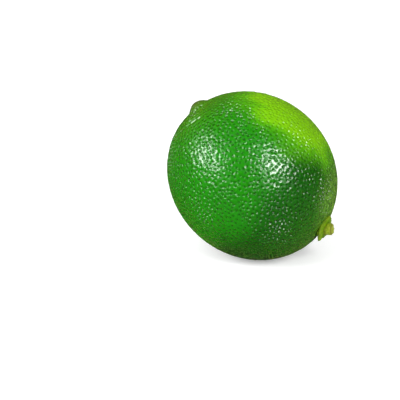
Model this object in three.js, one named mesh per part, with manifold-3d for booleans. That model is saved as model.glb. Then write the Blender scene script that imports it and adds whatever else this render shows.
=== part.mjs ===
// A whole fresh lime lying on a small flat spot, nipple end up and stalk end down.
// Millimetres, +Z up, origin in the middle of the flat spot.
// The fruit is worked out in a frame of its own, with its long axis along +Z to the nipple.
import * as THREE from 'three';
import { mergeVertices } from 'three/addons/utils/BufferGeometryUtils.js';
import Module from 'manifold-3d';

const wasm = await Module();
wasm.setup();

// Body of the fruit
const BODY_WIDTH = 52; // across the long axis
const BODY_LENGTH = 57; // along the long axis, without nipple and stalk
const AXIS_LEAN = 51.94; // degrees from upright, the nipple leaning to -X
const FLAT_SPOT_DEPTH = 0.75; // how much of the round underside the flat spot takes off
const RIB_COUNT = 5; // faint lengthwise swellings, over the segments inside
const RIB_HEIGHT = 0.14;
const RIB_TWIST = 0.6; // radians that they wind from the middle to an end

// Nipple, at the upper end
const NIPPLE_TOWARDS = new THREE.Vector3(0.24, -0.046, 0.97);
const NIPPLE_HEIGHT = 1.65;
const NIPPLE_FULLNESS = 2.4; // above 2 its top is fuller than a bell's
const NIPPLE_LOWER_RADIUS = 4.5; // on the side away from the top of the fruit
const NIPPLE_UPPER_RADIUS = 4.3; // on the side that runs out towards the top
const NIPPLE_SIDE_RADIUS = 4.5;
const FURROW_SIDE = new THREE.Vector2(-0.35, -0.94); // where it is deepest, seen from the nipple
const FURROW_DEPTH = 0.42; // of the crease at the nipple's foot
const FURROW_HALF_WIDTH = 0.8;
const FURROW_PLACE = 1.04; // of the nipple's radius
const FURROW_FADE = 2; // sideways, over which it reaches its depth

// Calyx and stalk, at the lower end
const CALYX_TOWARDS = new THREE.Vector3(0.181, -0.125, -0.976);
const CALYX_FACES = new THREE.Vector3(0.37, -0.145, -0.917);
const CALYX_RADIUS = 4.55;
const CALYX_LOBES = 5;
const CALYX_LOBE_DEPTH = 0.36;
const CALYX_LOBE_START = 0.5; // of its radius, inside which it stays round
const CALYX_RIM_RISE = 0.9; // of the rim's middle over the round of the body
const CALYX_FOOT_RADIUS = 3.1;
const CALYX_FOOT_DEPTH = 2.6; // below the rim, so the foot sits in a pocket of the peel
const CALYX_RIM_THICKNESS = 0.75;
const CALYX_RIM_ROUND = 0.35;
const CALYX_WAIST = 1.35; // below the rim, where its underside meets the foot
const CALYX_FACE_RISE = 0.3; // of the middle of its face over the rim
const CALYX_SIDES = 40;
const DIMPLE_DEPTH = 0.1; // shallow hollow of the peel round the calyx
const DIMPLE_RADIUS = 4.5;
const STALK_FACES = new THREE.Vector3(0.65, -0.045, -0.759);
const STALK_RADIUS = 1.95;
const STALK_LENGTH = 2.35; // beyond the calyx rim
const STALK_ROOT = 0.7; // below the calyx rim
const STALK_TIP_ROUND = 0.7;
const STALK_TIP_CORNER = 0.3; // of that rounding, how far its middle is cut back
const STALK_TIP_HOLLOW = 0.15;
const STALK_SIDES = 24;
const FITTING_GAP = 0.3; // between two pieces that touch

// Oil glands of the peel, larger and fewer than on the real fruit
const EDGE_STEPS = 24; // of each edge of the icosahedron, a multiple of three
const PIT_DEPTH = 0.2;
const PIT_DEPTH_SPREAD = 0.07;
const SURFACE_JITTER = 0.16; // sideways, so that the pits keep no rows
const SEED = 7;

const BODY_RADII = new THREE.Vector3(BODY_WIDTH / 2, BODY_WIDTH / 2, BODY_LENGTH / 2);
const MEAN_RADIUS = (BODY_WIDTH + BODY_LENGTH) / 4;
const Z_AXIS = new THREE.Vector3(0, 0, 1);

// A number generator with a fixed start, so that every build gives the same lime.
function seededRandom(seed) {
  let state = seed;
  return () => {
    state = (Math.imul(state, 1664525) + 1013904223) >>> 0;
    return state / 4294967296;
  };
}

// The fruit's own frame leans about Y, so this is the way up as that frame sees it.
function upInFruitFrame() {
  return Z_AXIS.clone().applyAxisAngle(new THREE.Vector3(0, 1, 0), THREE.MathUtils.degToRad(AXIS_LEAN));
}

// Height of the body's middle over its lowest point, and that lowest point.
function undersideOfBody() {
  const down = upInFruitFrame().negate();
  const stretched = down.clone().multiply(BODY_RADII);
  const reach = stretched.length();
  return { reach, lowest: stretched.multiply(BODY_RADII).divideScalar(reach) };
}

function bodyPoint(direction) {
  return direction.clone().multiply(BODY_RADII);
}

function bodyNormal(direction) {
  return direction.clone().divide(BODY_RADII).normalize();
}

// Sideways distances in millimetres from the point of the body that lies at centre:
// x runs along +X of the fruit's frame and y across it.
function offsetsFrom(centre, direction) {
  const normal = centre.clone().normalize();
  const x = new THREE.Vector3(1, 0, 0).addScaledVector(normal, -normal.x).normalize();
  const y = normal.clone().cross(x);
  return {
    x: direction.dot(x) * MEAN_RADIUS,
    y: direction.dot(y) * MEAN_RADIUS,
    facing: direction.dot(normal) > 0,
  };
}

function ribs(direction) {
  const around = Math.atan2(direction.y, direction.x);
  const girth = 1 - direction.z * direction.z;
  return -RIB_HEIGHT * girth * Math.cos(RIB_COUNT * around + RIB_TWIST * direction.z);
}

// A low rounded knob, with a crease along its foot on one side.
function nipple(direction) {
  const { x, y, facing } = offsetsFrom(NIPPLE_TOWARDS, direction);
  if (!facing) {
    return 0;
  }
  const radiusAlong = x < 0 ? NIPPLE_LOWER_RADIUS : NIPPLE_UPPER_RADIUS;
  const share = Math.hypot(x / radiusAlong, y / NIPPLE_SIDE_RADIUS);
  const knob = share < 1 ? NIPPLE_HEIGHT * (1 - share ** NIPPLE_FULLNESS) ** 2 : 0;
  const fromFoot = ((share - FURROW_PLACE) * NIPPLE_LOWER_RADIUS) / FURROW_HALF_WIDTH;
  const onFurrowSide = THREE.MathUtils.smoothstep(x * FURROW_SIDE.x + y * FURROW_SIDE.y, 0, FURROW_FADE);
  return knob - FURROW_DEPTH * onFurrowSide * Math.exp(-fromFoot * fromFoot);
}

function dimple(direction) {
  const { x, y, facing } = offsetsFrom(CALYX_TOWARDS, direction);
  if (!facing) {
    return 0;
  }
  return -DIMPLE_DEPTH * Math.exp(-(x * x + y * y) / (DIMPLE_RADIUS * DIMPLE_RADIUS));
}

// An even ball of triangles. Every third point of its grid is marked as the bottom of a pit.
function pittedBall(steps) {
  const base = new THREE.IcosahedronGeometry(1, 0).getAttribute('position');
  const corner = (i) => new THREE.Vector3().fromBufferAttribute(base, i);
  const positions = [];
  const pits = [];
  for (let face = 0; face < base.count; face += 3) {
    const [a, b, c] = [corner(face), corner(face + 1), corner(face + 2)];
    const add = (i, j) => {
      const point = a.clone().multiplyScalar(i).addScaledVector(b, j).addScaledVector(c, steps - i - j);
      positions.push(...point.normalize().toArray());
      pits.push((i - j + steps) % 3 === 0 ? 1 : 0);
    };
    for (let i = 0; i < steps; i += 1) {
      for (let j = 0; j < steps - i; j += 1) {
        add(i, j);
        add(i + 1, j);
        add(i, j + 1);
        if (i + j < steps - 1) {
          add(i + 1, j);
          add(i + 1, j + 1);
          add(i, j + 1);
        }
      }
    }
  }
  const geometry = new THREE.BufferGeometry();
  geometry.setAttribute('position', new THREE.Float32BufferAttribute(positions, 3));
  geometry.setAttribute('pit', new THREE.Float32BufferAttribute(pits, 1));
  return mergeVertices(geometry);
}

// The peel's outside: the round body with its ribs, nipple, dimple and pits, flat underneath.
function peelGeometry() {
  const geometry = pittedBall(EDGE_STEPS);
  const position = geometry.getAttribute('position');
  const pit = geometry.getAttribute('pit');
  const random = seededRandom(SEED);
  const up = upInFruitFrame();
  const flatLevel = FLAT_SPOT_DEPTH - undersideOfBody().reach;
  const step = MEAN_RADIUS / EDGE_STEPS;
  for (let i = 0; i < position.count; i += 1) {
    const direction = new THREE.Vector3().fromBufferAttribute(position, i);
    const wander = new THREE.Vector3(random() - 0.5, random() - 0.5, random() - 0.5);
    direction.addScaledVector(wander, (2 * SURFACE_JITTER * step) / MEAN_RADIUS).normalize();
    const depth = pit.getX(i) * (PIT_DEPTH + PIT_DEPTH_SPREAD * (2 * random() - 1));
    const relief = ribs(direction) + nipple(direction) + dimple(direction) - depth;
    const point = bodyPoint(direction).addScaledVector(bodyNormal(direction), relief);
    point.addScaledVector(up, Math.max(0, flatLevel - point.dot(up)));
    position.setXYZ(i, point.x, point.y, point.z);
  }
  geometry.deleteAttribute('pit');
  return geometry;
}

// A turned shape from radius and height pairs that start and end on the axis, along +Z.
function turned(profile, segments) {
  const points = profile.map(([radius, height]) => new THREE.Vector2(radius, height));
  return new THREE.LatheGeometry(points, segments).rotateX(Math.PI / 2);
}

// The button of grown-together sepals: a shallow lobed saucer on a foot, its rim at height 0.
function calyxGeometry(gap) {
  const rim = CALYX_RADIUS + gap;
  const foot = CALYX_FOOT_RADIUS + gap;
  const profile = [
    [0, -CALYX_FOOT_DEPTH - gap],
    [foot, -CALYX_FOOT_DEPTH - gap],
    [foot, -CALYX_WAIST],
    [rim - CALYX_RIM_ROUND, -CALYX_RIM_THICKNESS - gap],
    [rim, -CALYX_RIM_THICKNESS / 2],
    [rim - CALYX_RIM_ROUND, gap],
    [0, CALYX_FACE_RISE + gap],
  ];
  const geometry = turned(profile, CALYX_SIDES);
  const position = geometry.getAttribute('position');
  for (let i = 0; i < position.count; i += 1) {
    const [x, y, z] = [position.getX(i), position.getY(i), position.getZ(i)];
    const outward = THREE.MathUtils.smoothstep(Math.hypot(x, y), CALYX_LOBE_START * rim, rim);
    const lobe = Math.abs(Math.cos((CALYX_LOBES / 2) * Math.atan2(y, x)));
    const scale = 1 - (outward * CALYX_LOBE_DEPTH * (1 - lobe)) / rim;
    position.setXYZ(i, x * scale, y * scale, z);
  }
  return geometry;
}

// The short end of the stalk, round at its tip, with the calyx rim at height 0.
function stalkGeometry(gap) {
  const radius = STALK_RADIUS + gap;
  const profile = [
    [0, -STALK_ROOT - gap],
    [radius, -STALK_ROOT - gap],
    [radius, STALK_LENGTH - STALK_TIP_ROUND],
    [radius - STALK_TIP_CORNER * STALK_TIP_ROUND, STALK_LENGTH - STALK_TIP_CORNER * STALK_TIP_ROUND],
    [radius - STALK_TIP_ROUND, STALK_LENGTH],
    [0, STALK_LENGTH - STALK_TIP_HOLLOW],
  ];
  return turned(profile, STALK_SIDES);
}

// Turns a shape made along +Z towards facing, and sets it down at place.
function placed(geometry, facing, place) {
  const turn = new THREE.Quaternion().setFromUnitVectors(Z_AXIS, facing.clone().normalize());
  return geometry.applyQuaternion(turn).translate(...place.toArray());
}

function toSolid(geometry) {
  const bare = geometry.clone();
  bare.deleteAttribute('normal');
  bare.deleteAttribute('uv');
  const merged = mergeVertices(bare, 1e-3);
  const vertProperties = new Float32Array(merged.getAttribute('position').array);
  const triVerts = new Uint32Array(merged.index.array);
  return new wasm.Manifold(new wasm.Mesh({ numProp: 3, vertProperties, triVerts }));
}

function toGeometry(solid) {
  const { vertProperties, triVerts } = solid.getMesh();
  const geometry = new THREE.BufferGeometry();
  geometry.setAttribute('position', new THREE.BufferAttribute(vertProperties, 3));
  geometry.setIndex(new THREE.BufferAttribute(triVerts, 1));
  geometry.computeVertexNormals();
  return geometry;
}

// Middle of the calyx rim, in the fruit's frame.
function calyxPlace() {
  const direction = CALYX_TOWARDS.clone().normalize();
  return bodyPoint(direction).addScaledVector(bodyNormal(direction), CALYX_RIM_RISE);
}

function namedMesh(name, geometry, material) {
  const mesh = new THREE.Mesh(geometry, new THREE.MeshStandardMaterial(material));
  mesh.name = name;
  return mesh;
}

// The whole fruit in one piece, with a pocket for the foot of the calyx.
function fruit() {
  const pocket = toSolid(placed(calyxGeometry(FITTING_GAP), CALYX_FACES, calyxPlace()));
  const geometry = toGeometry(toSolid(peelGeometry()).subtract(pocket));
  return namedMesh('fruit', geometry, { color: 0x2f8412, roughness: 0.35, metalness: 0 });
}

// The calyx, hollowed where the stalk comes out of it.
function calyx() {
  const button = toSolid(placed(calyxGeometry(0), CALYX_FACES, calyxPlace()));
  const socket = toSolid(placed(stalkGeometry(FITTING_GAP), STALK_FACES, calyxPlace()));
  const geometry = toGeometry(button.subtract(socket));
  return namedMesh('calyx', geometry, { color: 0x6b931b, roughness: 0.6, metalness: 0 });
}

function stemStub() {
  const geometry = placed(stalkGeometry(0), STALK_FACES, calyxPlace());
  return namedMesh('stem_stub', geometry, { color: 0x9a9a4c, roughness: 0.8, metalness: 0 });
}

function lime() {
  const leaning = new THREE.Group();
  leaning.add(fruit(), calyx(), stemStub());
  leaning.rotation.y = -THREE.MathUtils.degToRad(AXIS_LEAN);
  const { reach, lowest } = undersideOfBody();
  const flatSpot = lowest.multiplyScalar((reach - FLAT_SPOT_DEPTH) / reach);
  leaning.position.copy(flatSpot.applyEuler(leaning.rotation).negate());
  const group = new THREE.Group();
  group.name = 'lime';
  group.add(leaning);
  return group;
}

export default lime();
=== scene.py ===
"""Looks of a whole fresh lime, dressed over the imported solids.

Metres, +Z up, in the frame of the solids: the origin is the middle of the flat spot.
The fruit is worked out in a frame of its own, with its long axis along +Z to the nipple,
which then leans about Y and is set down on the flat spot.
"""
import itertools
import math

import bpy
import numpy as np
from mathutils import Matrix, Vector, kdtree


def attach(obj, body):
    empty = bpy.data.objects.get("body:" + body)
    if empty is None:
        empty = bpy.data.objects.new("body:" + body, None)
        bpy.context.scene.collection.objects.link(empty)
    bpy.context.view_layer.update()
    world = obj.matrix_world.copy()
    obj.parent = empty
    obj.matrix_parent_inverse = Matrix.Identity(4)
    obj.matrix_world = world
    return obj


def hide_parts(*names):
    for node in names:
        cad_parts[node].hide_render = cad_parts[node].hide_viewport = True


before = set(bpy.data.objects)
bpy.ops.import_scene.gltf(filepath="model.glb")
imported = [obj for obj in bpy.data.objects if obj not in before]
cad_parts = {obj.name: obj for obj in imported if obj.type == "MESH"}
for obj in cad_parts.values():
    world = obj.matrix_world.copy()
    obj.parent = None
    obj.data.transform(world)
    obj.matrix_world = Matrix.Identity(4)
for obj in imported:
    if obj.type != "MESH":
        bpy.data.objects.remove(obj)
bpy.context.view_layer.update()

MM = 0.001

# Body of the fruit
BODY_WIDTH = 52 * MM
BODY_LENGTH = 57 * MM
AXIS_LEAN = math.radians(51.94)
FLAT_SPOT_DEPTH = 0.75 * MM
FLAT_SPOT_EDGE = 0.16 * MM
RIB_COUNT = 5
RIB_HEIGHT = 0.14 * MM
RIB_TWIST = 0.6  # radians from the middle to an end

# Nipple, at the upper end, with the furrow at its foot
NIPPLE_TOWARDS = (0.24, -0.046, 0.97)
NIPPLE_HEIGHT = 1.65 * MM
NIPPLE_FULLNESS = 2.4
NIPPLE_LOWER_RADIUS = 4.5 * MM
NIPPLE_UPPER_RADIUS = 4.3 * MM
NIPPLE_SIDE_RADIUS = 4.5 * MM
NIPPLE_COLOUR_FADE = (0.15, 0.95)  # 0 at its middle and 1 at its foot
FURROW_SIDE = (-0.35, -0.94)
FURROW_SIDE_FADE = (0, 2 * MM)
FURROW_DEPTH = 0.42 * MM
FURROW_HALF_WIDTH = 0.8 * MM
FURROW_PLACE = 1.04

# Ring creases outside the furrow, on one side of the nipple
CREASE_SIDE = (-0.75, -0.66)
CREASE_SIDE_FADE = (1.5 * MM, 5 * MM)
CREASE_RINGS = (5.9 * MM, 7.1 * MM, 8.5 * MM, 10.0 * MM)
CREASE_DEPTH = 0.36 * MM
CREASE_HALF_WIDTH = 0.38 * MM
CREASE_WANDER = 0.25 * MM
CREASE_WANDER_SIZE = 0.12  # on a ball of radius 1
CREASES_FADE_IN = 1.5 * MM
CREASES_FADE_OUT = 2.5 * MM

# Calyx, at the lower end
CALYX_TOWARDS = (0.181, -0.125, -0.976)
CALYX_FACES = (0.37, -0.145, -0.917)
CALYX_RADIUS = 4.55 * MM
CALYX_LOBES = 5
CALYX_LOBE_DEPTH = 0.36 * MM
CALYX_RIM_RISE = 0.9 * MM
CALYX_FOOT_RADIUS = 3.1 * MM
CALYX_FOOT_DEPTH = 2.3 * MM
CALYX_RIM_THICKNESS = 0.75 * MM
CALYX_FACE_RISE = 0.3 * MM
CALYX_VEIN_HEIGHT = 0.05 * MM
CALYX_GUTTER_DEPTH = 0.28 * MM
CALYX_WARP = 0.16 * MM
CALYX_ROUGHNESS = 0.035 * MM
CALYX_RINGS, CALYX_SIDES = 90, 180
DIMPLE_DEPTH = 0.1 * MM
DIMPLE_RADIUS = 4.5 * MM

# Stalk end, which stands out of the calyx
STALK_FACES = (0.65, -0.045, -0.759)
STALK_RADIUS = 1.95 * MM
STALK_LENGTH = 2.35 * MM
STALK_ROOT = 0.65 * MM
STALK_TIP_ROUND = 0.7 * MM
STALK_FLUTES = 11
STALK_FLUTE_DEPTH = 0.05 * MM
STALK_FLUTE_TWIST = 900  # radians to a metre
STALK_OVAL = 0.09 * MM
STALK_LUMPS = 0.06 * MM
STALK_END_LUMPS = 0.07 * MM
STALK_RINGS, STALK_SIDES = 80, 120

# Peel
EDGE_STEPS = 99
PIT_SPACING = 1.15 * MM
PIT_RADIUS = (0.42 * MM, 0.68 * MM)
PIT_DEPTH = (0.14 * MM, 0.3 * MM)
PIT_SHARPENING = 0.38 * MM  # height of the bump that sharpens them
PEBBLE_HEIGHT = 0.05 * MM
PEBBLE_SIZE = 1.6 * MM

# How far the nipple, the paler patch and the creases smooth the pits out
NIPPLE_CALM = 0.75
PATCH_CALM = 0.35
CREASE_CALM = 0.65

# Seeds of the pits and of each smooth noise
PIT_SEED = 7
CREASE_SEED = 9
PATCH_SEED = 3
PEBBLE_SEED = 5
CALYX_SEED = 11
FOLD_SHADE_SEED = 17
STALK_SEED = 23
STALK_END_SEED = 31

# Zones of colour. A direction goes out from the body's middle in the row's frame, and its zone
# starts at the first cosine of the angle away from it and is full at the second.
# Painted shade: the peel's green is deeper on the side turned from the lights and brighter on the
# side turned to them.
LIT_SIDE_TOWARDS = (-0.734, -0.335, 0.573)
LIT_SIDE_COSINES = (-0.35, 0.4)
# Grey-green mottle along the right rim: partly dust and partly a painted reflection that lightens
# the rim.
DUST_AND_SHEEN_TOWARDS = (0.97, 0.1, -0.1)
DUST_AND_SHEEN_COSINES = (0.8, 1.0)
COLLAR_RADIUS = 14 * MM
BLOSSOM_END_RADIUS = 12 * MM

# Paler patch and the dark band at its lower edge, with directions in the row's frame
PATCH_TOWARDS = (0.5, 0.13, 0.85)
PATCH_LONG_WAY = (0.72, -0.55, -0.42)
PATCH_RADIUS = math.radians(37)
PATCH_EDGE = math.radians(19)
PATCH_STRETCH = 1.15
PATCH_RAGGED = math.radians(2)
PATCH_RAGGED_SIZE = 0.35  # on a ball of radius 1
DARK_BAND = math.radians(44)
DARK_BAND_WIDTH = math.radians(6.5)

# Colours as the screen shows them, 0 to 255
# Painted shade: the peel's green on the side turned from the lights, then on the side turned to
# them
SHADED_SIDE_GREEN = (4, 70, 2)
LIT_SIDE_GREEN = (18, 110, 3)
PALE_GREEN = (72, 147, 4)
PALE_CORE = (106, 167, 4)
COLLAR_GREEN = (50, 98, 24)
BLOSSOM_END_GREEN = (64, 112, 13)
# Lighter grey-green of dust and of painted rim reflection
DUST_AND_SHEEN_GREEN = (108, 154, 52)
BAND_GREEN = (3, 66, 3)
SPECKLE_GREEN = (70, 140, 24)
# Darker green of the pits: partly the oil glands' own colour and partly painted shade in the
# hollows
PIT_GLAND_AND_SHADE_GREEN = (8, 62, 5)
NIPPLE_OLIVE = (64, 74, 24)
SHEEN_YELLOW = (200, 205, 40)
CALYX_DARK, CALYX_LIGHT = (84, 126, 4), (112, 146, 6)
# Painted shade along the calyx's rim
CALYX_EDGE_SHADE = (90, 104, 24)
# Painted shade in the calyx's crevices
CALYX_FOLD_SHADE = (54, 68, 4)
CALYX_SPOT = (92, 84, 30)
STALK_DARK, STALK_LIGHT = (106, 131, 17), (136, 152, 36)
STALK_CUT = (138, 147, 48)
STALK_RIM = (84, 80, 32)
# Painted shade where the stalk goes into the calyx
STALK_FOOT_SHADE = (62, 76, 6)

# View, as the photograph has it
IMAGE_SIZE = 400
VIEW_AZIMUTH = math.radians(16.6)
VIEW_ELEVATION = math.radians(20)
VIEW_DISTANCE = 0.6
MM_PER_PIXEL = 0.3216
BODY_PIXEL = (251.9, 175.3)
SENSOR = 36  # mm, as Blender takes it

# Lights. Directions are shares of the view's right, up and back, but the top one's isn't.
KEY_TOWARDS = (0.459, 0.281, 0.843)
LEFT_TOWARDS = (-0.82, 0.32, 0.46)
LEFT_LONG_WAY = (0, -0.5, 1)
FILL_LEFT_TOWARDS = (-0.6, 0.55, 0.58)
FILL_RIGHT_TOWARDS = (0.9, 0.05, -0.6)
TOP_TOWARDS = (0.1, 0.35, 1)  # in the row's frame
ROOM_LIGHT = 0.04

# Floor, a hair under the flat spot so that the two don't share a plane
FLOOR_HALF_SIZE = 6.0
FLOOR_LEVEL = -0.02 * MM
FLOOR_GREY = 0.8
FLOOR_GLOW = 0.35

BODY_RADII = np.array([BODY_WIDTH, BODY_WIDTH, BODY_LENGTH]) / 2
MEAN_RADIUS = (BODY_WIDTH + BODY_LENGTH) / 4


def unit(v):
    v = np.asarray(v, dtype=float)
    return v / np.linalg.norm(v, axis=-1, keepdims=True)


def smoothstep(x, low, high):
    t = np.clip((x - low) / (high - low), 0, 1)
    return t * t * (3 - 2 * t)


def bell(x, width):
    return np.exp(-((x / width) ** 2))


def lean_matrix():
    """Turns the fruit's frame into the row's, nipple end to -X."""
    c, s = math.cos(AXIS_LEAN), math.sin(AXIS_LEAN)
    return np.array([[c, 0, -s], [0, 1, 0], [s, 0, c]])


LEAN = lean_matrix()


def body_middle():
    """The middle of the body in the row's frame, with the flat spot's middle at the origin."""
    stretched = -LEAN[2] * BODY_RADII
    reach = np.linalg.norm(stretched)
    lowest = stretched * BODY_RADII / reach
    return -LEAN @ (lowest * (reach - FLAT_SPOT_DEPTH) / reach)


MIDDLE = body_middle()


def to_row(points):
    return points @ LEAN.T + MIDDLE


def offsets_from(centre, direction):
    """Sideways distances from the point of the body at centre, and which directions face it."""
    normal = unit(centre)
    x = unit(np.array([1.0, 0, 0]) - normal[0] * normal)
    y = np.cross(normal, x)
    return direction @ x * MEAN_RADIUS, direction @ y * MEAN_RADIUS, direction @ normal > 0


def near_place(centre, radius, direction):
    """1 at a place on the body, fading out round it over about the radius."""
    x, y, facing = offsets_from(centre, direction)
    return np.where(facing, np.exp(-(x**2 + y**2) / radius**2), 0)


def on_side(x, y, side, fade):
    """1 on one side of a place on the body, fading out towards the other."""
    side_x, side_y = unit(side)
    return smoothstep(x * side_x + y * side_y, *fade)


def ribs(direction):
    around = np.arctan2(direction[:, 1], direction[:, 0])
    girth = 1 - direction[:, 2] ** 2
    return -RIB_HEIGHT * girth * np.cos(RIB_COUNT * around + RIB_TWIST * direction[:, 2])


def nipple_share(direction):
    """0 at the nipple's middle and 1 at its foot."""
    x, y, facing = offsets_from(NIPPLE_TOWARDS, direction)
    radius = np.where(x < 0, NIPPLE_LOWER_RADIUS, NIPPLE_UPPER_RADIUS)
    far_off = 99.0
    return np.where(facing, np.hypot(x / radius, y / NIPPLE_SIDE_RADIUS), far_off)


def nipple(direction):
    x, y, _ = offsets_from(NIPPLE_TOWARDS, direction)
    share = nipple_share(direction)
    knob = NIPPLE_HEIGHT * (1 - np.minimum(share, 1) ** NIPPLE_FULLNESS) ** 2
    from_foot = (share - FURROW_PLACE) * NIPPLE_LOWER_RADIUS
    furrow = FURROW_DEPTH * bell(from_foot, FURROW_HALF_WIDTH)
    return knob - furrow * on_side(x, y, FURROW_SIDE, FURROW_SIDE_FADE)


def creases(direction):
    """Height of the fine folds of the peel beside the nipple."""
    x, y, facing = offsets_from(NIPPLE_TOWARDS, direction)
    wander = CREASE_WANDER * smooth_noise(direction, CREASE_WANDER_SIZE, CREASE_SEED)
    away = np.hypot(x, y) + wander
    height = -CREASE_DEPTH * sum(bell(away - ring, CREASE_HALF_WIDTH) for ring in CREASE_RINGS)
    return np.where(facing, height * on_side(x, y, CREASE_SIDE, CREASE_SIDE_FADE), 0)


def creased(direction):
    """1 among the folds beside the nipple, fading out round them."""
    x, y, facing = offsets_from(NIPPLE_TOWARDS, direction)
    away = np.hypot(x, y)
    first, last = CREASE_RINGS[0], CREASE_RINGS[-1]
    past_first = smoothstep(away, first - CREASES_FADE_IN, first)
    before_last = 1 - smoothstep(away, last, last + CREASES_FADE_OUT)
    share = past_first * before_last * on_side(x, y, CREASE_SIDE, CREASE_SIDE_FADE)
    return np.where(facing, share, 0)


def dimple(direction):
    return -DIMPLE_DEPTH * near_place(CALYX_TOWARDS, DIMPLE_RADIUS, direction)


def even_ball(steps):
    """Directions and triangles of a ball, an icosahedron with each edge cut into steps."""
    golden = (1 + math.sqrt(5)) / 2
    corners = []
    for a in (-1, 1):
        for b in (-golden, golden):
            corners += [(0, a, b), (a, b, 0), (b, 0, a)]
    corners = unit(corners)
    edge_limit = 1.06  # an edge is 1.05 long, and the next distance between corners 1.70
    faces = []
    for a, b, c in itertools.combinations(range(len(corners)), 3):
        ab, ac, bc = corners[b] - corners[a], corners[c] - corners[a], corners[c] - corners[b]
        if all(np.linalg.norm(edge) < edge_limit for edge in (ab, ac, bc)):
            outward = np.dot(np.cross(ab, ac), corners[a])
            faces.append((a, b, c) if outward > 0 else (a, c, b))
    i, j = np.meshgrid(np.arange(steps + 1), np.arange(steps + 1), indexing="ij")
    keep = i + j <= steps
    i, j = i[keep], j[keep]
    index = np.zeros((steps + 1, steps + 1), dtype=int)
    index[i, j] = np.arange(len(i))
    p, q = i[i + j < steps], j[i + j < steps]
    upright = np.stack([index[p, q], index[p + 1, q], index[p, q + 1]], 1)
    p, q = i[i + j < steps - 1], j[i + j < steps - 1]
    upturned = np.stack([index[p + 1, q], index[p + 1, q + 1], index[p, q + 1]], 1)
    one_face = np.concatenate([upright, upturned])
    points, triangles = [], []
    for n, (a, b, c) in enumerate(faces):
        flat = np.outer(steps - i - j, corners[a]) + np.outer(i, corners[b])
        points.append(unit(flat + np.outer(j, corners[c])))
        triangles.append(one_face + n * len(i))
    points, triangles = np.concatenate(points), np.concatenate(triangles)
    _, first, same = np.unique(np.round(points, 6), axis=0, return_index=True, return_inverse=True)
    return points[first], same.reshape(-1)[triangles]


def smooth_noise(points, size, seed):
    """Smooth noise, mostly between -1 and 1, of a few seeded waves whose length is about size."""
    rng = np.random.default_rng(seed)
    total = np.zeros(len(points))
    waves = 14
    for _ in range(waves):
        wave = unit(rng.normal(size=3)) * rng.uniform(0.7, 1.4) * 2 * math.pi / size
        total += np.sin(points @ wave + rng.uniform(0, 2 * math.pi))
    return total / math.sqrt(waves)


def pit_middles(points, tree, rng):
    """Points picked at random, none nearer to another than the spacing."""
    blocked = np.zeros(len(points), dtype=bool)
    middles = []
    for v in rng.permutation(len(points)):
        if not blocked[v]:
            middles.append(v)
            for _, near, _ in tree.find_range(points[v], PIT_SPACING):
                blocked[near] = True
    return middles


def pits(points, calm):
    """Depth of the pits at each point, and how far into a pit it is, from 0 to 1.

    calm is 1 where the peel is smooth.
    """
    tree = kdtree.KDTree(len(points))
    for v, point in enumerate(points):
        tree.insert(point, v)
    tree.balance()
    rng = np.random.default_rng(PIT_SEED)
    depth, inside = np.zeros(len(points)), np.zeros(len(points))
    for middle in pit_middles(points, tree, rng):
        radius, deep = rng.uniform(*PIT_RADIUS), rng.uniform(*PIT_DEPTH)
        for _, near, away in tree.find_range(points[middle], radius):
            share = (1 - (away / radius) ** 2) ** 2
            depth[near] = max(depth[near], deep * share)
            inside[near] = max(inside[near], share)
    return depth * (1 - calm), inside * (1 - calm)


def patch_angle(direction_row):
    """Angle from the paler patch's middle, allowing for its long shape and ragged edge."""
    centre = unit(PATCH_TOWARDS)
    long_way = unit(np.array(PATCH_LONG_WAY) - np.dot(PATCH_LONG_WAY, centre) * centre)
    short_way = np.cross(centre, long_way)
    angle = np.arccos(np.clip(direction_row @ centre, -1, 1))
    along, across = direction_row @ long_way, direction_row @ short_way
    stretch = np.hypot(along / PATCH_STRETCH, across) / np.maximum(np.hypot(along, across), 1e-9)
    ragged = PATCH_RAGGED * smooth_noise(direction_row, PATCH_RAGGED_SIZE, PATCH_SEED)
    return angle * stretch + ragged


def new_piece(name, points, faces, node, attributes, material):
    """A smooth shaded mesh that stands for a node of the solids."""
    mesh = bpy.data.meshes.new(name)
    mesh.from_pydata(points.tolist(), [], [list(map(int, f)) for f in faces])
    mesh.validate()
    mesh.shade_smooth()
    for key, values in attributes.items():
        layer = mesh.attributes.new(key, "FLOAT", "POINT")
        layer.data.foreach_set("value", np.asarray(values, dtype=np.float32))
    mesh.materials.append(material)
    piece = bpy.data.objects.new(name, mesh)
    bpy.context.scene.collection.objects.link(piece)
    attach(piece, "root")
    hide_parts(node)


def set_on_floor(points):
    """Flattens what would lie under the floor, with a softly rounded edge."""
    z, edge = points[:, 2], FLAT_SPOT_EDGE
    rounded = (z + edge) ** 2 / (4 * edge)
    points[:, 2] = np.where(z > edge, z, np.where(z < -edge, 0, rounded))
    return points


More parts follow.
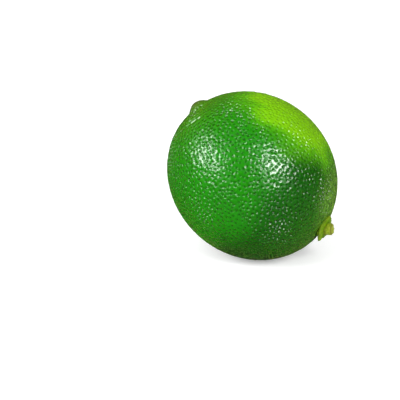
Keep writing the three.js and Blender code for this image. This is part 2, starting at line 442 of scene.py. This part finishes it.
def fruit_piece():
    direction, triangles = even_ball(EDGE_STEPS)
    normal = unit(direction / BODY_RADII)
    relief = ribs(direction) + nipple(direction) + creases(direction) + dimple(direction)
    base = direction * BODY_RADII + normal * relief[:, None]
    row_direction = direction @ LEAN.T
    from_patch = patch_angle(row_direction)
    patch = 1 - smoothstep(from_patch, PATCH_RADIUS - PATCH_EDGE, PATCH_RADIUS + PATCH_EDGE)
    tip = 1 - smoothstep(nipple_share(direction), *NIPPLE_COLOUR_FADE)
    calm = NIPPLE_CALM * tip + PATCH_CALM * patch + CREASE_CALM * creased(direction)
    depth, inside = pits(base, np.clip(calm, 0, 1))
    pebbles = PEBBLE_HEIGHT * smooth_noise(base, PEBBLE_SIZE, PEBBLE_SEED)
    points = set_on_floor(to_row(base + normal * (pebbles - depth)[:, None]))
    # Painted shade: 0 on the side turned from the lights, 1 on the side turned to them
    lit_side = smoothstep(row_direction @ unit(LIT_SIDE_TOWARDS), *LIT_SIDE_COSINES)
    # Right rim: mottled dust and painted rim reflection
    dust_and_sheen = smoothstep(row_direction @ unit(DUST_AND_SHEEN_TOWARDS), *DUST_AND_SHEEN_COSINES)
    attributes = {
        "pit": inside,
        "patch": patch,
        "band": (1 - lit_side) * (1 - dust_and_sheen) * bell(from_patch - DARK_BAND, DARK_BAND_WIDTH),
        "nipple": tip,
        "collar": near_place(CALYX_TOWARDS, COLLAR_RADIUS, direction),
        "blossom": near_place(NIPPLE_TOWARDS, BLOSSOM_END_RADIUS, direction),
        "lit_side": lit_side,
        "dust_and_sheen": dust_and_sheen,
    }
    new_piece("peel", points, triangles, "fruit", attributes, peel_material())


def round_profile(corners, steps):
    """A smooth run of points past the corners given, starting on the first, ending on the last."""
    corners = np.array(corners)
    for _ in range(2):
        cut = [corners[0]]
        for a, b in zip(corners[:-1], corners[1:]):
            cut += [0.75 * a + 0.25 * b, 0.25 * a + 0.75 * b]
        corners = np.array(cut + [corners[-1]])
    lengths = np.concatenate([[0], np.cumsum(np.linalg.norm(np.diff(corners, axis=0), axis=1))])
    t = np.linspace(0, lengths[-1], steps)
    return np.stack([np.interp(t, lengths, corners[:, k]) for k in (0, 1)], 1)


def turned_points(profile, sides):
    """Points of a profile turned about the axis: its first point, its rings, its last point."""
    around = np.linspace(0, 2 * math.pi, sides, endpoint=False)
    inner = profile[1:-1]
    x = np.outer(inner[:, 0], np.cos(around)).ravel()
    y = np.outer(inner[:, 0], np.sin(around)).ravel()
    z = np.repeat(inner[:, 1], sides)
    rings = np.stack([x, y, z], 1)
    return np.concatenate([[[0, 0, profile[0, 1]]], rings, [[0, 0, profile[-1, 1]]]])


def turned_faces(rings, sides):
    """Faces of a closed shape whose rings run from a point on the axis to another."""
    faces = []
    last_ring = 1 + (rings - 1) * sides
    for s in range(sides):
        t = (s + 1) % sides
        faces.append((0, 1 + t, 1 + s))
        for a in range(1, last_ring, sides):
            b = a + sides
            faces.append((a + s, a + t, b + t, b + s))
        faces.append((last_ring + s, last_ring + t, last_ring + sides))
    return faces


def placed(points, faces_towards):
    """Points of the calyx or the stalk end, turned and moved to their place on the fruit."""
    up, towards = Vector((0, 0, 1)), Vector(faces_towards).normalized()
    turn = np.array(up.rotation_difference(towards).to_matrix())
    direction = unit(CALYX_TOWARDS)
    place = direction * BODY_RADII + unit(direction / BODY_RADII) * CALYX_RIM_RISE
    return to_row(points @ turn.T + place)


def calyx_piece():
    profile = round_profile([
        (0, -CALYX_FOOT_DEPTH),
        (CALYX_FOOT_RADIUS, -CALYX_FOOT_DEPTH),
        (CALYX_FOOT_RADIUS, -1.7 * CALYX_RIM_THICKNESS),
        (CALYX_RADIUS - 0.3 * MM, -CALYX_RIM_THICKNESS),
        (CALYX_RADIUS + 0.12 * MM, -0.5 * CALYX_RIM_THICKNESS),
        (CALYX_RADIUS - 0.25 * MM, 0.15 * MM),
        (CALYX_RADIUS - 1.3 * MM, 0.0),
        (STALK_RADIUS + 0.2 * MM, 0.1 * MM),
        (STALK_RADIUS - 0.2 * MM, CALYX_FACE_RISE),
        (0, CALYX_FACE_RISE),
    ], CALYX_RINGS + 2)
    points = turned_points(profile, CALYX_SIDES)
    around = np.arctan2(points[:, 1], points[:, 0])
    radius = np.hypot(points[:, 0], points[:, 1])
    outward = smoothstep(radius, 0.45 * CALYX_RADIUS, CALYX_RADIUS)
    lobe = np.abs(np.cos(CALYX_LOBES / 2 * around))
    uneven = 0.12 * MM * np.sin(2 * around + 1.0) + 0.1 * MM * np.sin(3 * around)
    narrow = outward * (CALYX_LOBE_DEPTH * (1 - lobe) - uneven)
    scale = 1 - narrow / np.maximum(radius, 1e-6)
    points[:, :2] *= scale[:, None]
    on_top = smoothstep(points[:, 2], -0.4 * MM, 0.0)
    veins = CALYX_VEIN_HEIGHT * np.cos(4 * CALYX_LOBES * around)
    veins *= smoothstep(radius, 1.6 * MM, 2.6 * MM)
    gutter = -CALYX_GUTTER_DEPTH * bell(lobe, 0.3) * outward
    warp = CALYX_WARP * outward * np.sin(3 * around + 0.5)
    points[:, 2] += on_top * (veins + gutter) + warp
    rough = CALYX_ROUGHNESS * smooth_noise(points, 1.1 * MM, CALYX_SEED)
    points *= 1 + (rough / np.maximum(np.linalg.norm(points, axis=1), 1 * MM))[:, None]
    # Painted shade along the rim of the calyx
    rim = smoothstep(radius, CALYX_RADIUS - 0.9 * MM, CALYX_RADIUS)
    edge = rim * smoothstep(points[:, 2], -0.9 * MM, 0.0)
    # Painted shade in the crevices round the stalk and between the lobes, on the top face
    round_stalk = bell(radius - STALK_RADIUS - 0.2 * MM, 0.45 * MM)
    round_stalk *= 0.7 + 0.3 * smooth_noise(points, 1.6 * MM, FOLD_SHADE_SEED)
    between_lobes = outward * smoothstep(1 - lobe, 0.3, 1.0)
    fold_shade = on_top * np.clip(round_stalk + 0.7 * between_lobes, 0, 1)
    new_piece("calyx_button", placed(points, CALYX_FACES), turned_faces(CALYX_RINGS, CALYX_SIDES),
              "calyx", {"edge": edge, "fold_shade": fold_shade}, calyx_material())


def stalk_piece():
    profile = round_profile([
        (0, -STALK_ROOT),
        (STALK_RADIUS * 1.08, -STALK_ROOT),
        (STALK_RADIUS * 1.0, 0.3 * STALK_LENGTH),
        (STALK_RADIUS * 0.97, 0.6 * STALK_LENGTH),
        (STALK_RADIUS * 1.03, STALK_LENGTH - STALK_TIP_ROUND),
        (STALK_RADIUS - 0.15 * MM, STALK_LENGTH - 0.1 * MM),
        (STALK_RADIUS - 0.65 * MM, STALK_LENGTH + 0.05 * MM),
        (STALK_RADIUS - 1.0 * MM, STALK_LENGTH - 0.18 * MM),
        (0, STALK_LENGTH - 0.1 * MM),
    ], STALK_RINGS + 2)
    points = turned_points(profile, STALK_SIDES)
    around = np.arctan2(points[:, 1], points[:, 0])
    radius = np.hypot(points[:, 0], points[:, 1])
    outer = smoothstep(radius, 0.5 * STALK_RADIUS, STALK_RADIUS)
    flutes = STALK_FLUTE_DEPTH * np.cos(STALK_FLUTES * around + STALK_FLUTE_TWIST * points[:, 2])
    oval = STALK_OVAL * np.sin(2 * around + 0.4)
    lumps = STALK_LUMPS * smooth_noise(points, 1.4 * MM, STALK_SEED)
    scale = 1 + outer * (flutes + oval + lumps) / np.maximum(radius, 1e-6)
    points[:, :2] *= scale[:, None]
    end = smoothstep(points[:, 2], STALK_LENGTH - 0.6 * MM, STALK_LENGTH - 0.15 * MM)
    points[:, 2] += end * STALK_END_LUMPS * smooth_noise(points, 0.9 * MM, STALK_END_SEED)
    rim = end * smoothstep(radius, 0.55 * STALK_RADIUS, 0.95 * STALK_RADIUS)
    # Painted shade where the stalk goes into the calyx
    foot = 1 - smoothstep(points[:, 2], 0.1 * STALK_LENGTH, 0.5 * STALK_LENGTH)
    new_piece("stalk_end", placed(points, STALK_FACES), turned_faces(STALK_RINGS, STALK_SIDES),
              "stem_stub", {"end": end, "rim": rim, "root": foot}, stalk_material())


def rgb(colour):
    """A colour as the screen shows it, 0 to 255, in the linear values that shaders take."""
    def linear(v):
        v /= 255
        return v / 12.92 if v <= 0.04045 else ((v + 0.055) / 1.055) ** 2.4
    return (*map(linear, colour), 1.0)


class Nodes:
    """Short ways to make and link shader nodes in one material. Sizes are in metres."""

    def __init__(self, name):
        self.material = bpy.data.materials.new(name)
        self.material.use_nodes = True
        self.tree = self.material.node_tree
        self.shader = self.tree.nodes["Principled BSDF"]
        self.place = self.add("ShaderNodeTexCoord").outputs["Object"]

    def add(self, kind, **settings):
        node = self.tree.nodes.new(kind)
        for key, value in settings.items():
            setattr(node, key, value)
        return node

    def feed(self, socket, value):
        if isinstance(value, bpy.types.NodeSocket):
            self.tree.links.new(value, socket)
        else:
            socket.default_value = value

    def shade(self, **inputs):
        """Feeds the shader's inputs, named with _ for each space."""
        for key, value in inputs.items():
            self.feed(self.shader.inputs[key.replace("_", " ")], value)

    def attribute(self, name):
        return self.add("ShaderNodeAttribute", attribute_name=name).outputs["Fac"]

    def noise(self, size, detail):
        node = self.add("ShaderNodeTexNoise")
        self.feed(node.inputs["Vector"], self.place)
        node.inputs["Scale"].default_value = 1 / size
        node.inputs["Detail"].default_value = detail
        return node.outputs["Fac"]

    def ramp(self, value, low, high, to_low=0.0, to_high=1.0):
        """Goes smoothly from to_low to to_high while the value goes from low to high."""
        node = self.add("ShaderNodeMapRange", interpolation_type="SMOOTHSTEP")
        self.feed(node.inputs["Value"], value)
        numbers = {"From Min": low, "From Max": high, "To Min": to_low, "To Max": to_high}
        for key, number in numbers.items():
            node.inputs[key].default_value = number
        return node.outputs["Result"]

    def math(self, operation, first, second):
        node = self.add("ShaderNodeMath", operation=operation)
        self.feed(node.inputs[0], first)
        self.feed(node.inputs[1], second)
        return node.outputs[0]

    def mix(self, share, first, second):
        node = self.add("ShaderNodeMix", data_type="RGBA")
        self.feed(node.inputs[0], share)
        self.feed(node.inputs[6], first)
        self.feed(node.inputs[7], second)
        return node.outputs[2]

    def tint(self, colour, attribute, share, other):
        """Up to a share of another colour, as far as an attribute of the mesh says."""
        return self.mix(self.math("MULTIPLY", self.attribute(attribute), share), colour, rgb(other))

    def bump(self, height, distance):
        node = self.add("ShaderNodeBump")
        node.inputs["Strength"].default_value = 1.0
        node.inputs["Distance"].default_value = distance
        self.feed(node.inputs["Height"], height)
        self.feed(self.shader.inputs["Normal"], node.outputs["Normal"])


def peel_material():
    n = Nodes("lime_peel")
    # Painted shade: deeper green away from the lights and brighter towards them, with random tone
    # on top
    lit_side_mottled = n.math("ADD", n.attribute("lit_side"), n.ramp(n.noise(12 * MM, 3), 0.3, 0.7, -0.2, 0.2))
    green = n.mix(n.ramp(lit_side_mottled, 0.0, 1.0), rgb(SHADED_SIDE_GREEN), rgb(LIT_SIDE_GREEN))
    green = n.tint(green, "collar", 0.8, COLLAR_GREEN)
    green = n.tint(green, "blossom", 0.8, BLOSSOM_END_GREEN)
    mottle = n.ramp(n.noise(1.4 * MM, 3), 0.3, 0.68, 0.15, 1.0)
    # Grey-green mottle along the right rim, partly dust and partly painted rim reflection
    dust_and_sheen = n.math("MULTIPLY", n.math("MULTIPLY", n.attribute("dust_and_sheen"), mottle), 0.7)
    green = n.mix(dust_and_sheen, green, rgb(DUST_AND_SHEEN_GREEN))
    patch = n.attribute("patch")
    patchy = n.math("ADD", patch, n.ramp(n.noise(6 * MM, 3), 0.3, 0.7, -0.08, 0.08))
    colour = n.mix(n.ramp(patchy, 0.06, 0.85), green, rgb(PALE_GREEN))
    colour = n.mix(n.ramp(patchy, 0.55, 1.0), colour, rgb(PALE_CORE))
    colour = n.tint(colour, "band", 0.7, BAND_GREEN)
    speckle = n.ramp(n.noise(0.7 * MM, 2), 0.5, 0.72, 0.0, 0.13)
    colour = n.mix(speckle, colour, rgb(SPECKLE_GREEN))
    shade = n.ramp(n.noise(0.6 * MM, 2), 0.3, 0.5, 0.3, 0.0)
    pit = n.attribute("pit")
    # Darker in the pits, partly the glands' own colour and partly painted shade, with fine random
    # mottle
    gland_shade_and_mottle = n.math("ADD", n.ramp(pit, 0.2, 0.9, 0.0, 0.55), shade)
    gland_shade_and_mottle = n.math("MULTIPLY", gland_shade_and_mottle, n.ramp(patch, 0.0, 1.0, 1.0, 0.35))
    colour = n.mix(gland_shade_and_mottle, colour, rgb(PIT_GLAND_AND_SHADE_GREEN))
    colour = n.tint(colour, "nipple", 0.85, NIPPLE_OLIVE)
    dull = n.math("MULTIPLY", n.attribute("nipple"), 0.25)
    n.shade(
        Base_Color=colour,
        Roughness=n.math("ADD", n.ramp(n.noise(4 * MM, 3), 0.3, 0.7, 0.1, 0.17), dull),
        IOR=1.5,
        Coat_Weight=0.5,
        Coat_Roughness=0.08,
        Sheen_Weight=0.16,
        Sheen_Roughness=0.35,
        Sheen_Tint=rgb(SHEEN_YELLOW),
    )
    grain = n.math("MULTIPLY", n.noise(0.7 * MM, 3), 0.35)
    n.bump(n.math("SUBTRACT", grain, pit), PIT_SHARPENING)
    return n.material


def calyx_material():
    n = Nodes("calyx_green")
    colour = n.mix(n.ramp(n.noise(1.2 * MM, 3), 0.35, 0.65), rgb(CALYX_DARK), rgb(CALYX_LIGHT))
    # Painted shade along the rim
    colour = n.tint(colour, "edge", 0.55, CALYX_EDGE_SHADE)
    # Painted shade in the crevices
    colour = n.tint(colour, "fold_shade", 0.6, CALYX_FOLD_SHADE)
    colour = n.mix(n.ramp(n.noise(0.4 * MM, 3), 0.58, 0.72, 0.0, 0.5), colour, rgb(CALYX_SPOT))
    roughness = n.ramp(n.noise(0.8 * MM, 2), 0.3, 0.7, 0.42, 0.6)
    n.shade(Base_Color=colour, Roughness=roughness, Specular_IOR_Level=0.12)
    n.bump(n.noise(0.3 * MM, 3), 0.04 * MM)
    return n.material


def stalk_material():
    n = Nodes("stalk_tan")
    colour = n.mix(n.ramp(n.noise(0.9 * MM, 3), 0.35, 0.65), rgb(STALK_DARK), rgb(STALK_LIGHT))
    colour = n.tint(colour, "end", 0.7, STALK_CUT)
    colour = n.tint(colour, "rim", 0.75, STALK_RIM)
    # Painted shade at the stalk's foot
    colour = n.tint(colour, "root", 0.6, STALK_FOOT_SHADE)
    n.shade(Base_Color=colour, Roughness=0.65, Specular_IOR_Level=0.12)
    n.bump(n.noise(0.25 * MM, 3), 0.05 * MM)
    return n.material


def view_axes():
    """The camera's right, up and back, looking level with the picture's edges."""
    a, e = VIEW_AZIMUTH, VIEW_ELEVATION
    back = Vector((math.sin(a) * math.cos(e), -math.cos(a) * math.cos(e), math.sin(e)))
    right = Vector((math.cos(a), math.sin(a), 0))
    return right, back.cross(right), back


def camera():
    right, up, back = view_axes()
    middle = Vector(MIDDLE)
    scale = MM_PER_PIXEL * MM
    off_right, off_up = BODY_PIXEL[0] - IMAGE_SIZE / 2, IMAGE_SIZE / 2 - BODY_PIXEL[1]
    target = middle - right * off_right * scale - up * off_up * scale
    data = bpy.data.cameras.new("camera")
    data.sensor_width = SENSOR
    data.lens = SENSOR * VIEW_DISTANCE / (IMAGE_SIZE * scale)
    data.clip_start = 0.01
    data.clip_end = 20
    item = bpy.data.objects.new("camera", data)
    item.location = middle + back * VIEW_DISTANCE
    item.rotation_mode = "QUATERNION"
    item.rotation_quaternion = (target - item.location).to_track_quat("-Z", "Y")
    bpy.context.scene.collection.objects.link(item)
    bpy.context.scene.camera = item


def softbox(name, towards, long_way, distance, size, radiance, mirrored=True):
    """A soft rectangular light that faces the fruit, with its long side along long_way.

    If it isn't mirrored, glossy surfaces don't reflect it.
    """
    towards = towards.normalized()
    data = bpy.data.lights.new(name, "AREA")
    data.shape = "RECTANGLE"
    data.size, data.size_y = size
    data.energy = radiance * math.pi * size[0] * size[1]
    item = bpy.data.objects.new(name, data)
    x = (long_way - long_way.dot(towards) * towards).normalized()
    y = towards.cross(x)
    place = Vector(MIDDLE) + towards * distance
    item.matrix_world = Matrix.Translation(place) @ Matrix((x, y, towards)).transposed().to_4x4()
    item.visible_glossy = mirrored
    bpy.context.scene.collection.objects.link(item)


def lights():
    """Two lights whose reflections show, each a bright core in a dim one, and softer fills."""
    right, up, back = view_axes()

    def in_view(shares):
        return shares[0] * right + shares[1] * up + shares[2] * back

    key, left, left_long_way = map(in_view, (KEY_TOWARDS, LEFT_TOWARDS, LEFT_LONG_WAY))
    softbox("key_wide", key, up, distance=0.6, size=(0.58, 0.46), radiance=1.2)
    softbox("key_core", key, up, distance=0.58, size=(0.23, 0.17), radiance=21.0)
    softbox("left_wide", left, left_long_way, distance=0.5, size=(0.66, 0.3), radiance=0.5)
    softbox("left_core", left, left_long_way, distance=0.48, size=(0.3, 0.1), radiance=14.5)
    softbox("fill_left", in_view(FILL_LEFT_TOWARDS), up,
            distance=0.8, size=(0.8, 0.8), radiance=2.9, mirrored=False)
    softbox("fill_right", in_view(FILL_RIGHT_TOWARDS), up,
            distance=0.7, size=(0.5, 0.5), radiance=3.0, mirrored=False)
    softbox("top", Vector(TOP_TOWARDS), Vector((1, 0, 0)),
            distance=1.0, size=(1.2, 1.2), radiance=0.9, mirrored=False)
    world = bpy.data.worlds.new("studio")
    bpy.context.scene.world = world
    world.use_nodes = True
    colour = world.node_tree.nodes["Background"].inputs["Color"]
    colour.default_value = (ROOM_LIGHT, ROOM_LIGHT, ROOM_LIGHT, 1)


def floor():
    half, z = FLOOR_HALF_SIZE, FLOOR_LEVEL
    corners = [(-half, -half, z), (half, -half, z), (half, half, z), (-half, half, z)]
    mesh = bpy.data.meshes.new("floor")
    mesh.from_pydata(corners, [], [(0, 1, 2, 3)])
    item = bpy.data.objects.new("floor", mesh)
    bpy.context.scene.collection.objects.link(item)
    n = Nodes("floor_white")
    n.shade(
        Base_Color=(FLOOR_GREY, FLOOR_GREY, FLOOR_GREY, 1),
        Roughness=0.8,
        Specular_IOR_Level=0.1,
        Emission_Color=(1, 1, 1, 1),
        Emission_Strength=FLOOR_GLOW,
    )
    mesh.materials.append(n.material)
    item.visible_glossy = False


fruit_piece()
calyx_piece()
stalk_piece()
camera()
lights()
floor()
bpy.context.scene.view_settings.view_transform = "Standard"
